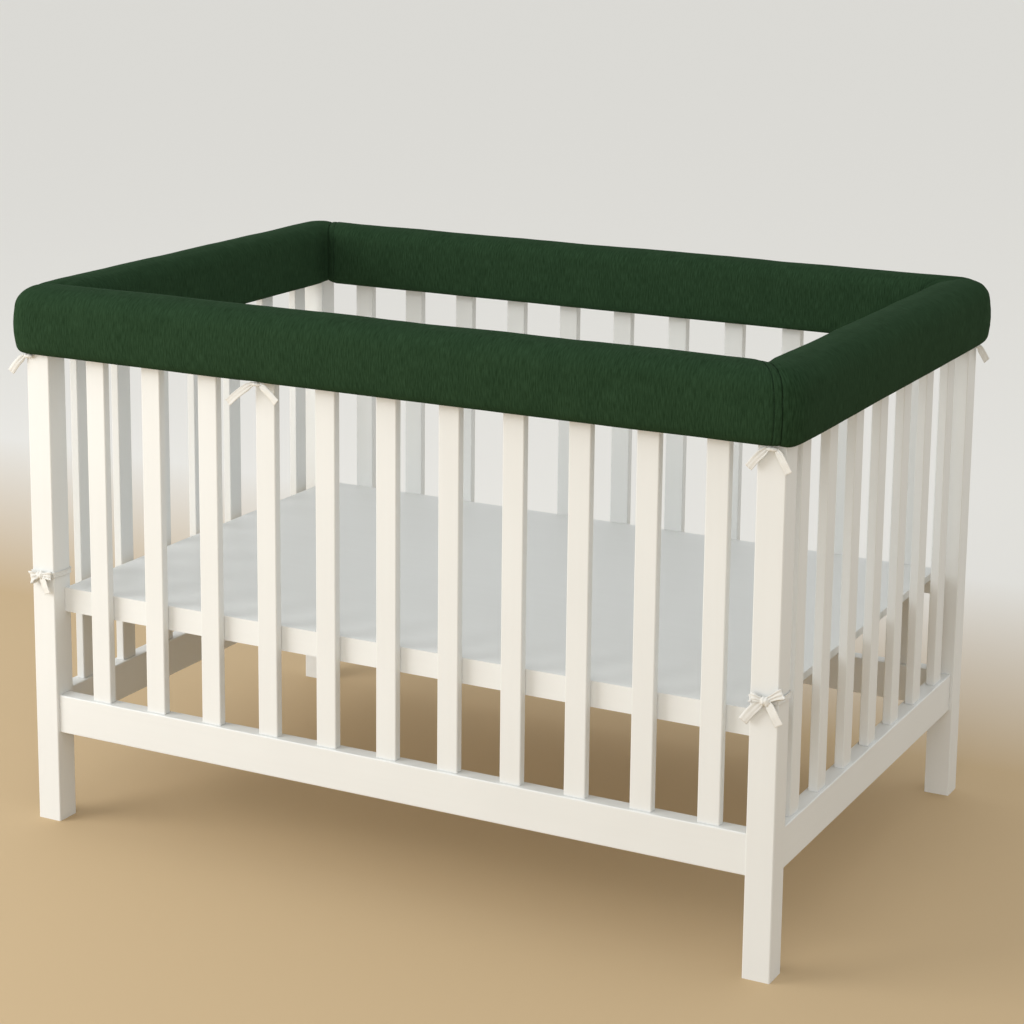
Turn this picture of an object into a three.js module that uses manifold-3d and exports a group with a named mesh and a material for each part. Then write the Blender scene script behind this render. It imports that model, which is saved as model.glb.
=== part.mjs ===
// Crib rail cover: four padded cloth covers over the top rails of a plain white crib, tied with ribbons.
// Millimetres, +Z up. The origin is on the floor under the middle of the crib.
// The long sides run along X, and the front one is at -Y.

import * as THREE from 'three';
import { mergeVertices } from 'three/addons/utils/BufferGeometryUtils.js';
import Module from 'manifold-3d';

const wasm = await Module();
wasm.setup();

// Crib
const CRIB_LENGTH = 1300;
const CRIB_DEPTH = 870;
const POST_WIDTH = 43;
const RAIL_TOP = 877.7;
const POST_TOP = RAIL_TOP - 2;
const TOP_RAIL = { thick: 39, tall: 80, setBack: 2 };
const LOW_RAIL = { thick: 27, bottom: 153, top: 217, setBack: 6 };
const SLAT = { width: 35, thick: 15, setBack: 12 };
const SLAT_ROWS = {
  long: { count: 11, pitch: 106.9, shift: 9.5 },
  short: { count: 7, pitch: 110.5, shift: 8 },
};
const BASE = { top: 395, railTall: 40, railThick: 18, boardThick: 12 };
const ARRIS = 2;
const TOP_RAIL_ARRIS = 8;
const SEAT_GAP = 0.3;

// Padded covers
const COVER_BOTTOM = 787;
const COVER_TOP = 898;
const COVER_WIDTH = 91;
const COVER_CAVITY = POST_WIDTH + 4;
const CAVITY_TOP = RAIL_TOP + SEAT_GAP;
const CAVITY_ROUND = 2;
const TOP_ROUND = { inside: 30, outside: 36 };
const HEM_ROUND = { inside: 14, outside: 17.5, hidden: 4 };
const CROWN = 1.5;
const FACE_BULGE = { outside: 2, inside: 1, belowMiddle: 5 };
const INNER_EDGE_REACH = 4;
const CORNER_SQUARENESS = { skin: 5, hem: 12, cavity: 32 };
const SEAM_HALF_GAP = 0.2;
const SEAM_DRAW_IN = [
  { degreesBefore: 10, draw: 0 },
  { degreesBefore: 5, draw: 0.9 },
  { degreesBefore: 2.5, draw: 2.2 },
  { degreesBefore: 0, draw: 4.6 },
];
const SEAM_DRAW_SHARE = { outside: 0.35, top: 0.8 };
const CORNER_STEP = 15;
const POST_CORNER = 45;
const STRAIGHT_STEP = 96;
const TIE_PINCH = { depth: 2.2, reach: 26 };
const WAVE = { height: 0.8, length: 410, turnInHeight: 250 };

// Seam places, in degrees round each corner from the long side's outward direction
const SEAM = { frontLeft: 62, frontRight: 38, backLeft: 24, backRight: 45 };

// Ribbons
const RIBBON = { width: 12, thick: 1.3 };
const KNOT = { long: 18, tall: 9.5, deep: 8 };
const BOW_HEIGHT = 422;
const TIE_KNOT_DROP = SEAT_GAP + KNOT.tall / 2;

const coverCloth = new THREE.MeshStandardMaterial({ color: 0x24402a, roughness: 0.95, metalness: 0 });
const whitePaint = new THREE.MeshStandardMaterial({ color: 0xece8dd, roughness: 0.45, metalness: 0 });
const ribbonCloth = new THREE.MeshStandardMaterial({ color: 0xf1ebdd, roughness: 0.9, metalness: 0 });

const model = new THREE.Group();

function addMesh(name, geometry, material, x = 0, y = 0, z = 0) {
  const mesh = new THREE.Mesh(geometry, material);
  mesh.name = name;
  mesh.position.set(x, y, z);
  model.add(mesh);
  return mesh;
}

// Joining of closed shapes

function toSolid(geometry) {
  const plain = geometry.clone();
  plain.deleteAttribute('normal');
  plain.deleteAttribute('uv');
  const merged = mergeVertices(plain, 1e-3);
  return new wasm.Manifold(new wasm.Mesh({
    numProp: 3,
    vertProperties: new Float32Array(merged.attributes.position.array),
    triVerts: new Uint32Array(merged.index.array),
  }));
}

function joined(geometries) {
  const whole = geometries.map(toSolid).reduce((sum, next) => sum.add(next));
  const mesh = whole.getMesh();
  return indexedGeometry(Array.from(mesh.vertProperties), Array.from(mesh.triVerts));
}

function indexedGeometry(positions, triangles) {
  const geometry = new THREE.BufferGeometry();
  geometry.setAttribute('position', new THREE.Float32BufferAttribute(positions, 3));
  geometry.setIndex(triangles);
  return geometry;
}

// A closed loft through rings of equal length, capped at both ends, with its faces pointing out
function loft(rings, cap) {
  const count = rings[0].length;
  const points = rings.flat();
  const triangles = [];
  for (let r = 0; r + 1 < rings.length; r += 1) {
    for (let i = 0; i < count; i += 1) {
      const j = (i + 1) % count;
      const a = r * count + i;
      const b = r * count + j;
      triangles.push([a, b, b + count], [a, b + count, a + count]);
    }
  }
  const last = (rings.length - 1) * count;
  for (const [a, b, c] of cap) {
    triangles.push([c, b, a], [last + a, last + b, last + c]);
  }
  const facesOut = signedVolume(points, triangles) > 0;
  const index = triangles.flatMap(([a, b, c]) => (facesOut ? [a, b, c] : [a, c, b]));
  return indexedGeometry(points.flatMap((p) => [p.x, p.y, p.z]), index);
}

// Triangles that fill an outline and run round it the same way as its points do
function capTriangles(outline) {
  const area = (points) => THREE.ShapeUtils.area(points);
  const way = Math.sign(area(outline));
  return THREE.ShapeUtils.triangulateShape(outline, []).map(([a, b, c]) => (
    Math.sign(area([outline[a], outline[b], outline[c]])) === way ? [a, b, c] : [a, c, b]
  ));
}

function signedVolume(points, triangles) {
  const cross = new THREE.Vector3();
  return triangles.reduce((sum, [a, b, c]) => sum + points[a].dot(cross.crossVectors(points[b], points[c])), 0);
}

// Crib pieces

function roundedRectangle(width, depth, lowRadius, highRadius = lowRadius) {
  const x = width / 2;
  const y = depth / 2;
  const shape = new THREE.Shape();
  shape.absarc(x - lowRadius, -y + lowRadius, lowRadius, -Math.PI / 2, 0);
  shape.absarc(x - highRadius, y - highRadius, highRadius, 0, Math.PI / 2);
  shape.absarc(-x + highRadius, y - highRadius, highRadius, Math.PI / 2, Math.PI);
  shape.absarc(-x + lowRadius, -y + lowRadius, lowRadius, Math.PI, 1.5 * Math.PI);
  return shape;
}

function uprightBar(width, depth, length) {
  const shape = roundedRectangle(width, depth, ARRIS);
  return new THREE.ExtrudeGeometry(shape, { depth: length, bevelEnabled: false, curveSegments: 2 });
}

function lyingBar(length, thick, tall, highRadius) {
  const shape = roundedRectangle(thick, tall, ARRIS, highRadius);
  const curveSegments = highRadius > ARRIS ? 4 : 2;
  const bar = new THREE.ExtrudeGeometry(shape, { depth: length, bevelEnabled: false, curveSegments });
  bar.translate(0, 0, -length / 2);
  bar.rotateX(Math.PI / 2);
  bar.rotateZ(Math.PI / 2);
  return bar;
}

const SIDES = [
  { name: 'front', row: 'long', outward: -1, half: CRIB_DEPTH / 2, span: CRIB_LENGTH - 2 * POST_WIDTH },
  { name: 'back', row: 'long', outward: 1, half: CRIB_DEPTH / 2, span: CRIB_LENGTH - 2 * POST_WIDTH },
  { name: 'left', row: 'short', outward: -1, half: CRIB_LENGTH / 2, span: CRIB_DEPTH - 2 * POST_WIDTH },
  { name: 'right', row: 'short', outward: 1, half: CRIB_LENGTH / 2, span: CRIB_DEPTH - 2 * POST_WIDTH },
];

// A piece of one side, "along" the side and with its outer face "setBack" behind the post faces
function addSidePiece(side, name, geometry, along, setBack, thick, z) {
  const across = side.outward * (side.half - setBack - thick / 2);
  if (side.row === 'long') {
    addMesh(name, geometry, whitePaint, along, across, z);
  } else {
    addMesh(name, geometry.rotateZ(Math.PI / 2), whitePaint, across, along, z);
  }
}

function addPosts() {
  const x = (CRIB_LENGTH - POST_WIDTH) / 2;
  const y = (CRIB_DEPTH - POST_WIDTH) / 2;
  for (const [nameY, signY] of [['front', -1], ['back', 1]]) {
    for (const [nameX, signX] of [['left', -1], ['right', 1]]) {
      const post = uprightBar(POST_WIDTH, POST_WIDTH, POST_TOP);
      addMesh(`post_${nameY}_${nameX}`, post, whitePaint, signX * x, signY * y, 0);
    }
  }
}

function addRails(side) {
  const length = side.span - 2 * SEAT_GAP;
  const top = lyingBar(length, TOP_RAIL.thick, TOP_RAIL.tall, TOP_RAIL_ARRIS);
  const topMiddle = RAIL_TOP - TOP_RAIL.tall / 2;
  addSidePiece(side, `rail_top_${side.name}`, top, 0, TOP_RAIL.setBack, TOP_RAIL.thick, topMiddle);
  const lowTall = LOW_RAIL.top - LOW_RAIL.bottom;
  const low = lyingBar(length, LOW_RAIL.thick, lowTall, ARRIS);
  const lowMiddle = LOW_RAIL.bottom + lowTall / 2;
  addSidePiece(side, `rail_low_${side.name}`, low, 0, LOW_RAIL.setBack, LOW_RAIL.thick, lowMiddle);
}

function addSlats(side) {
  const row = SLAT_ROWS[side.row];
  const foot = LOW_RAIL.top + SEAT_GAP;
  const length = RAIL_TOP - TOP_RAIL.tall - SEAT_GAP - foot;
  for (let i = 0; i < row.count; i += 1) {
    const along = row.shift + (i - (row.count - 1) / 2) * row.pitch;
    const slat = uprightBar(SLAT.width, SLAT.thick, length);
    addSidePiece(side, `slat_${side.name}_${i + 1}`, slat, along, SLAT.setBack, SLAT.thick, foot);
  }
}

// The base is a flat board whose long edges carry a rail, seen behind the front slats
function addBase() {
  const y = CRIB_DEPTH / 2 - SLAT.setBack - SLAT.thick - SEAT_GAP;
  const low = BASE.top - BASE.railTall;
  const shape = new THREE.Shape([
    new THREE.Vector2(-y, low),
    new THREE.Vector2(-y + BASE.railThick, low),
    new THREE.Vector2(-y + BASE.railThick, BASE.top - BASE.boardThick),
    new THREE.Vector2(y - BASE.railThick, BASE.top - BASE.boardThick),
    new THREE.Vector2(y - BASE.railThick, low),
    new THREE.Vector2(y, low),
    new THREE.Vector2(y, BASE.top),
    new THREE.Vector2(-y, BASE.top),
  ]);
  const length = CRIB_LENGTH - 2 * POST_WIDTH - 2 * SEAT_GAP;
  const board = new THREE.ExtrudeGeometry(shape, { depth: length, bevelEnabled: false });
  board.translate(0, 0, -length / 2);
  board.rotateX(Math.PI / 2);
  board.rotateZ(Math.PI / 2);
  addMesh('base_board', board, whitePaint);
}

// Padded covers

// Points of an arc in the section, where "reach" is the distance out from the corner's inner edge
function sectionArc(reach, z, radius, fromDegrees, toDegrees, steps, kind) {
  const points = [];
  for (let i = 0; i <= steps; i += 1) {
    const angle = THREE.MathUtils.degToRad(fromDegrees + (toDegrees - fromDegrees) * i / steps);
    points.push({ reach: reach + radius * Math.cos(angle), z: z + radius * Math.sin(angle), kind });
  }
  return points;
}

// The cover's section is an upside-down U round the rail: outer skin first, then the cavity
function coverSection() {
  const inside = INNER_EDGE_REACH;
  const outside = INNER_EDGE_REACH + COVER_WIDTH;
  const wall = (COVER_WIDTH - COVER_CAVITY) / 2;
  const topOfFaces = COVER_TOP - CROWN;
  const faceMiddle = (COVER_TOP + COVER_BOTTOM) / 2 - FACE_BULGE.belowMiddle;
  const hidden = HEM_ROUND.hidden;
  const hiddenHem = COVER_BOTTOM + hidden;
  return [
    ...sectionArc(inside + HEM_ROUND.inside, COVER_BOTTOM + HEM_ROUND.inside, HEM_ROUND.inside, 270, 180, 3, 'skin'),
    { reach: inside - FACE_BULGE.inside, z: faceMiddle, kind: 'skin' },
    ...sectionArc(inside + TOP_ROUND.inside, topOfFaces - TOP_ROUND.inside, TOP_ROUND.inside, 180, 90, 5, 'skin'),
    { reach: (inside + outside) / 2, z: COVER_TOP, kind: 'skin' },
    ...sectionArc(outside - TOP_ROUND.outside, topOfFaces - TOP_ROUND.outside, TOP_ROUND.outside, 90, 0, 6, 'skin'),
    { reach: outside + FACE_BULGE.outside, z: faceMiddle, kind: 'skin' },
    ...sectionArc(outside - HEM_ROUND.outside, COVER_BOTTOM + HEM_ROUND.outside, HEM_ROUND.outside, 0, -90, 4, 'hem'),
    ...sectionArc(outside - wall + hidden, hiddenHem, hidden, 270, 180, 2, 'tuck'),
    ...sectionArc(outside - wall - CAVITY_ROUND, CAVITY_TOP - CAVITY_ROUND, CAVITY_ROUND, 0, 90, 2, 'cavity'),
    ...sectionArc(inside + wall + CAVITY_ROUND, CAVITY_TOP - CAVITY_ROUND, CAVITY_ROUND, 90, 180, 2, 'cavity'),
    ...sectionArc(inside + wall - hidden, hiddenHem, hidden, 0, -90, 2, 'tuck'),
  ];
}

const SECTION = coverSection();
const SECTION_OUTLINE = SECTION.map(({ reach, z }) => new THREE.Vector2(reach, z));
const SECTION_CAP = capTriangles(SECTION_OUTLINE);
const SECTION_MIDDLE = { reach: INNER_EDGE_REACH + COVER_WIDTH / 2, z: (COVER_TOP + COVER_BOTTOM) / 2 };

// Near a seam the padding draws in towards the middle of the section, most at the inner hem
function drawnIn(point, draw) {
  if (point.kind === 'cavity' || draw === 0) return point;
  const outward = THREE.MathUtils.clamp((point.reach - INNER_EDGE_REACH) / COVER_WIDTH, 0, 1);
  const upward = (point.z - COVER_BOTTOM) / (COVER_TOP - COVER_BOTTOM);
  const outerShare = THREE.MathUtils.lerp(1, SEAM_DRAW_SHARE.outside, outward);
  const upperShare = THREE.MathUtils.lerp(1, SEAM_DRAW_SHARE.top, upward);
  const share = draw * outerShare * upperShare / (COVER_WIDTH / 2);
  const inward = point.kind === 'tuck' ? 0 : share;
  return {
    ...point,
    reach: point.reach + (SECTION_MIDDLE.reach - point.reach) * inward,
    z: point.z + (SECTION_MIDDLE.z - point.z) * share,
  };
}

// Hand-sewn padding is never quite even, and each tie pulls the outer hem in a little
function uneven(point, along, ties) {
  if (point.kind === 'cavity' || point.kind === 'tuck') return point;
  const turn = Math.cos(2 * Math.PI * point.z / WAVE.turnInHeight);
  const wave = WAVE.height * Math.sin(2 * Math.PI * along / WAVE.length) * turn;
  const outward = point.reach > SECTION_MIDDLE.reach ? 1 : -1;
  const nearTie = ties.some((tie) => Math.abs(along - tie) < TIE_PINCH.reach / 2);
  const pinch = point.kind === 'hem' && nearTie ? TIE_PINCH.depth : 0;
  return { ...point, reach: point.reach + outward * wave - pinch };
}

// How much further than the straight part a corner's spoke reaches, from 1 at its sides: more when squarer
function cornerReach(degrees, squareness) {
  const cosine = Math.cos(THREE.MathUtils.degToRad(degrees));
  const sine = Math.sin(THREE.MathUtils.degToRad(degrees));
  return (cosine ** squareness + sine ** squareness) ** (-1 / squareness);
}

// The skin turns a corner in a soft curve and the cavity turns it nearly square, clear of the post.
// The outer hem passes from the one to the other.
function cornerStretch(point, degrees) {
  const skin = cornerReach(degrees, CORNER_SQUARENESS.skin);
  const hem = cornerReach(degrees, CORNER_SQUARENESS.hem);
  const cavity = cornerReach(degrees, CORNER_SQUARENESS.cavity);
  if (point.kind === 'skin') return skin;
  if (point.kind === 'hem') {
    const under = (INNER_EDGE_REACH + COVER_WIDTH - point.reach) / HEM_ROUND.outside;
    return THREE.MathUtils.lerp(skin, hem, THREE.MathUtils.clamp(under, 0, 1));
  }
  if (point.kind === 'tuck' && point.reach > SECTION_MIDDLE.reach) {
    const cavityReach = INNER_EDGE_REACH + (COVER_WIDTH + COVER_CAVITY) / 2;
    return THREE.MathUtils.lerp(cavity, hem, (point.reach - cavityReach) / HEM_ROUND.hidden);
  }
  return cavity;
}

// Angles round a corner up to its seam, one of them at the post's own corner
function cornerStations(seamDegrees) {
  const drawStart = seamDegrees - SEAM_DRAW_IN[0].degreesBefore;
  const stations = SEAM_DRAW_IN.map(({ degreesBefore, draw }) => ({ degrees: seamDegrees - degreesBefore, draw }));
  for (let degrees = CORNER_STEP; degrees < drawStart - 1; degrees += CORNER_STEP) {
    stations.push({ degrees, draw: 0 });
  }
  if (drawStart < POST_CORNER && POST_CORNER < seamDegrees) stations.push({ degrees: POST_CORNER, draw: 0 });
  return stations.sort((a, b) => a.degrees - b.degrees);
}

function straightStations(half, ties) {
  const count = Math.round(2 * half / STRAIGHT_STEP);
  const places = [];
  for (let i = 0; i <= count; i += 1) places.push(-half + 2 * half * i / count);
  for (const tie of ties) places.push(tie - TIE_PINCH.reach, tie, tie + TIE_PINCH.reach);
  const kept = places.filter((place) => Math.abs(place) <= half);
  return kept.sort((a, b) => a - b);
}

// One cover: "out" is its outward direction, "on" its direction of travel, "from" and "to" its seams
function coverGeometry({ out, on, half, edge, from, to, ties }) {
  const rings = [];
  const cornerRing = (end, { degrees, draw }) => {
    const angle = THREE.MathUtils.degToRad(degrees);
    const spoke = out.clone().multiplyScalar(Math.cos(angle)).addScaledVector(on, end * Math.sin(angle));
    const back = out.clone().multiplyScalar(Math.sin(angle)).addScaledVector(on, -end * Math.cos(angle));
    const origin = out.clone().multiplyScalar(edge).addScaledVector(on, end * half);
    if (draw === SEAM_DRAW_IN.at(-1).draw) origin.addScaledVector(back, SEAM_HALF_GAP);
    return SECTION.map((corner) => {
      const point = drawnIn(uneven(corner, end * half, ties), draw);
      const place = origin.clone().addScaledVector(spoke, point.reach * cornerStretch(point, degrees));
      return new THREE.Vector3(place.x, place.y, point.z);
    });
  };
  for (const station of cornerStations(from).reverse()) rings.push(cornerRing(-1, station));
  for (const along of straightStations(half, ties)) {
    rings.push(SECTION.map((corner) => {
      const point = uneven(corner, along, ties);
      const place = out.clone().multiplyScalar(edge + point.reach).addScaledVector(on, along);
      return new THREE.Vector3(place.x, place.y, point.z);
    }));
  }
  for (const station of cornerStations(to)) rings.push(cornerRing(1, station));
  return loft(rings, SECTION_CAP);
}

const INNER_EDGE = {
  x: (CRIB_LENGTH - POST_WIDTH - COVER_WIDTH) / 2 - INNER_EDGE_REACH,
  y: (CRIB_DEPTH - POST_WIDTH - COVER_WIDTH) / 2 - INNER_EDGE_REACH,
};
const MIDDLE_TIE_X = -209;

function addCovers() {
  const alongX = new THREE.Vector2(1, 0);
  const alongY = new THREE.Vector2(0, 1);
  const long = { on: alongX, half: INNER_EDGE.x, edge: INNER_EDGE.y };
  const short = { on: alongY, half: INNER_EDGE.y, edge: INNER_EDGE.x };
  const toFront = new THREE.Vector2(0, -1);
  const toBack = new THREE.Vector2(0, 1);
  const toLeft = new THREE.Vector2(-1, 0);
  const toRight = new THREE.Vector2(1, 0);
  const rows = {
    front: { ...long, out: toFront, from: SEAM.frontLeft, to: SEAM.frontRight, ties: [MIDDLE_TIE_X] },
    back: { ...long, out: toBack, from: SEAM.backLeft, to: SEAM.backRight, ties: [] },
    left: { ...short, out: toLeft, from: 90 - SEAM.frontLeft, to: 90 - SEAM.backLeft, ties: [] },
    right: { ...short, out: toRight, from: 90 - SEAM.frontRight, to: 90 - SEAM.backRight, ties: [] },
  };
  for (const [name, row] of Object.entries(rows)) {
    addMesh(`cover_${name}`, coverGeometry(row), coverCloth);
  }
}

// Ribbons

const RIBBON_CORNERS = [[-1, -1], [1, -1], [1, 1], [-1, 1]];
const RIBBON_CAP = [[0, 1, 2], [0, 2, 3]];

// A strip of ribbon along a smooth curve through a few points, with "across" as its width direction
function ribbonStrip(points, across, steps) {
  const curve = new THREE.CatmullRomCurve3(points.map((p) => new THREE.Vector3(...p)), false, 'centripetal');
  const width = new THREE.Vector3(...across).normalize();
  const rings = [];
  for (let i = 0; i <= steps; i += 1) {
    const centre = curve.getPoint(i / steps);
    const tangent = curve.getTangent(i / steps);
    const level = new THREE.Vector3().crossVectors(tangent, width).normalize();
    rings.push(RIBBON_CORNERS.map(([w, t]) => centre.clone()
      .addScaledVector(width, w * RIBBON.width / 2)
      .addScaledVector(level, t * RIBBON.thick / 2)));
  }
  return loft(rings, RIBBON_CAP);
}

function knot(at, alongY) {
  const ball = new THREE.SphereGeometry(0.5, 10, 7);
  ball.scale(alongY ? KNOT.deep : KNOT.long, alongY ? KNOT.long : KNOT.deep, KNOT.tall);
  ball.translate(...at);
  return ball;
}

// A free end leaves the knot "from" beside its middle and runs nearly straight, curled a little off the crib
function freeEnd(at, { from = 0, dx, dy, dz }) {
  const x = at[0] + from;
  const [, y, z] = at;
  const points = [
    [x, y, z],
    [x + dx * 0.3, y + dy * 0.3 - 1, z + dz * 0.24],
    [x + dx * 0.65, y + dy * 0.65 - 1.1, z + dz * 0.6],
    [x + dx, y + dy, z + dz],
  ];
  const flat = Math.hypot(dx, dy);
  return ribbonStrip(points, [-dz * dx / flat, -dz * dy / flat, flat], 5);
}

// A loop of a bow lies flat: out from the knot, round its end and back
function bowLoop(at, { length, rise, depth }) {
  const [x, y, z] = at;
  const points = [
    [x, y + depth / 4, z],
    [x + length * 0.5, y + depth / 2, z + rise * 0.5],
    [x + length * 0.92, y + depth / 2, z + rise * 0.92],
    [x + length, y, z + rise],
    [x + length * 0.92, y - depth / 2, z + rise * 0.92],
    [x + length * 0.5, y - depth / 2 - 1, z + rise * 0.5],
    [x, y - depth / 4, z],
  ];
  return ribbonStrip(points, [-rise, 0, length], 12);
}

// A band of ribbon right round a post
function postBand(x, y, z) {
  const inner = POST_WIDTH + 2 * SEAT_GAP;
  const outer = inner + 2 * RIBBON.thick;
  const shape = roundedRectangle(outer, outer, ARRIS + RIBBON.thick);
  shape.holes.push(roundedRectangle(inner, inner, ARRIS));
  const band = new THREE.ExtrudeGeometry(shape, { depth: RIBBON.width, bevelEnabled: false, curveSegments: 2 });
  band.translate(x, y, z - RIBBON.width / 2);
  return band;
}

function addTies() {
  const hemY = INNER_EDGE.y + INNER_EDGE_REACH + COVER_WIDTH - HEM_ROUND.outside;
  const hemX = INNER_EDGE.x + INNER_EDGE_REACH + COVER_WIDTH - HEM_ROUND.outside;
  const z = COVER_BOTTOM - TIE_KNOT_DROP;
  const rows = {
    tie_front_left: {
      at: [-643, -440, z],
      ends: [{ from: -7, dx: -24, dy: -5, dz: -27 }],
    },
    tie_front_middle: {
      at: [MIDDLE_TIE_X, -hemY + TIE_PINCH.depth, z],
      ends: [{ from: -7, dx: -42, dy: -4, dz: -31 }, { from: 6, dx: 33, dy: -4, dz: -22 }],
    },
    tie_front_right: {
      at: [631, -hemY, z],
      ends: [{ from: -7, dx: -26, dy: -3, dz: -27 }, { from: 6, dx: 21, dy: -3, dz: -29 }],
    },
    tie_back_right: {
      at: [hemX, hemY - 21, z],
      ends: [{ dx: 6, dy: 22, dz: -20 }, { dx: 12, dy: 14, dz: -24 }],
      alongY: true,
    },
  };
  for (const [name, { at, ends, alongY }] of Object.entries(rows)) {
    const pieces = [knot(at, alongY), ...ends.map((end) => freeEnd(at, end))];
    addMesh(name, joined(pieces), ribbonCloth);
  }
}

function addBows() {
  const postX = (CRIB_LENGTH - POST_WIDTH) / 2;
  const postY = (CRIB_DEPTH - POST_WIDTH) / 2;
  const front = -CRIB_DEPTH / 2 - SEAT_GAP - RIBBON.thick - KNOT.deep / 2;
  const rows = {
    bow_front_left: {
      x: -postX,
      knotX: -630,
      loops: [{ length: -20, rise: -5, depth: 8 }, { length: 22, rise: 1, depth: 5 }],
      ends: [{ from: 2, dx: 15, dy: -3, dz: -30 }],
    },
    bow_front_right: {
      x: postX,
      knotX: 632,
      loops: [{ length: -20, rise: 3, depth: 7 }, { length: 26, rise: 15, depth: 7 }],
      ends: [{ from: -4, dx: -27, dy: -4, dz: -33 }, { from: 3, dx: 21, dy: -4, dz: -31 }],
    },
  };
  for (const [name, { x, knotX, loops, ends }] of Object.entries(rows)) {
    const at = [knotX, front, BOW_HEIGHT];
    const pieces = [
      postBand(x, -postY, BOW_HEIGHT),
      knot(at),
      ...loops.map((loop) => bowLoop(at, loop)),
      ...ends.map((end) => freeEnd(at, end)),
    ];
    addMesh(name, joined(pieces), ribbonCloth);
  }
}

addPosts();
for (const side of SIDES) {
  addRails(side);
  addSlats(side);
}
addBase();
addCovers();
addTies();
addBows();

export default model;
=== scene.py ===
# Looks of the crib rail cover: padded dark green cloth over a white crib's rails, tied with ribbons.
# Metres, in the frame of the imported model: +Z up, the front long side at -Y.

import math

import bmesh
import bpy
import numpy as np
from mathutils import Matrix, Vector, noise


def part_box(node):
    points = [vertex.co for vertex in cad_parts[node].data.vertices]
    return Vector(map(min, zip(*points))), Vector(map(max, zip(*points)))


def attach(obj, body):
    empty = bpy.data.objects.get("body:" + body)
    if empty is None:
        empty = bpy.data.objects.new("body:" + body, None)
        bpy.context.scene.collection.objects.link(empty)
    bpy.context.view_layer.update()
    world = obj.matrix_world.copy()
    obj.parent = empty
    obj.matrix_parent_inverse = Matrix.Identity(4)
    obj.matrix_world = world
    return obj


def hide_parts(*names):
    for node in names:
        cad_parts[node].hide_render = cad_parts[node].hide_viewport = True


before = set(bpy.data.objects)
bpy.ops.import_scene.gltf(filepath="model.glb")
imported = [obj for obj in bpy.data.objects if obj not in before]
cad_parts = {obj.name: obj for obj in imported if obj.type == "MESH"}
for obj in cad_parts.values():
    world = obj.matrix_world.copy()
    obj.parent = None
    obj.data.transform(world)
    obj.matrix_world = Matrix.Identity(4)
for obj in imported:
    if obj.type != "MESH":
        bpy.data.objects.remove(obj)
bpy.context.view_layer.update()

MM = 0.001

# Sizes read from the frame
POST_LOW, POST_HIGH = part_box("post_front_right")
CRIB_HALF_LENGTH = POST_HIGH.x
CRIB_HALF_DEPTH = -POST_LOW.y
POST_WIDTH = POST_HIGH.x - POST_LOW.x
RAIL_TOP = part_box("rail_top_front")[1].z
COVER_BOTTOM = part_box("cover_front")[0].z
COVER_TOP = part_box("cover_front")[1].z

# Section of the padded covers
COVER_WIDTH = 91 * MM
COVER_CAVITY = POST_WIDTH + 4 * MM
CAVITY_TOP = RAIL_TOP + 0.3 * MM
CAVITY_ROUND = 2 * MM
TOP_ROUND = {"inside": 30 * MM, "outside": 36 * MM}
HEM_ROUND = {"inside": 14 * MM, "outside": 17.5 * MM, "hidden": 4 * MM}
HEM_LIFT = 12 * MM
CROWN = 1.5 * MM
FACE_BULGE = {"outside": 2.2 * MM, "inside": 1.2 * MM}
INNER_EDGE_REACH = 4 * MM
FACE_POINTS = {"side": 11, "top": 7}
SECTION_SPACING = 3 * MM
SMOOTHING_PASSES = 3

# Sweep of the section round the crib
CORNER_SQUARENESS = {"skin": 5, "hem": 12, "cavity": 32}
SWEEP_STEP = {"straight": 7 * MM, "near_seam": 1.6 * MM, "near_length": 40 * MM}
CORNER_STEP = {"wide": 2.5, "near_seam": 0.45, "near_angle": 13, "at_seam": (0.08, 0.2)}

# Seam places, in degrees round each corner from the long side's outward direction
SEAM = {"front_left": 62, "front_right": 38, "back_left": 24, "back_right": 45}

# Relief of the cloth
SEAM_HALF_GAP = 0.3 * MM
SEAM_DRAW = {"depth": 4.6 * MM, "reach": 19 * MM, "outside": 0.15, "top": 0.8}
SEAM_FOLD = {"depth": 2.4 * MM, "reach": 2.4 * MM}
SEAM_PUCKER = {"height": 0.45 * MM, "pitch": 15 * MM, "fade": 11 * MM, "start": 2 * MM, "wander": 4}
TOPSTITCH = {"from_seam": 11 * MM, "groove": 1.3 * MM, "half_width": 1.1 * MM, "pitch": 3.6 * MM}
STITCH = {"length": 3.0 * MM, "radius": 0.4 * MM, "rise": 0.1 * MM, "taper": 0.92, "rings": 5, "sides": 6}
TIE_PINCH = {"depth": 2.0 * MM, "reach": 22 * MM, "height": 40 * MM}
UNEVEN = {"height": 1.1 * MM, "size": 115 * MM, "fine_height": 0.3 * MM, "fine_size": 34 * MM}
TUCKED_RELIEF = 0.25

# Places of the covers' inner edges, outer hems and middle tie
INNER_EDGE = {
    "x": CRIB_HALF_LENGTH - (POST_WIDTH + COVER_WIDTH) / 2 - INNER_EDGE_REACH,
    "y": CRIB_HALF_DEPTH - (POST_WIDTH + COVER_WIDTH) / 2 - INNER_EDGE_REACH,
}
HEM = {
    "x": INNER_EDGE["x"] + INNER_EDGE_REACH + COVER_WIDTH - HEM_ROUND["outside"],
    "y": INNER_EDGE["y"] + INNER_EDGE_REACH + COVER_WIDTH - HEM_ROUND["outside"],
}
MIDDLE_TIE_X = -209 * MM

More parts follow.
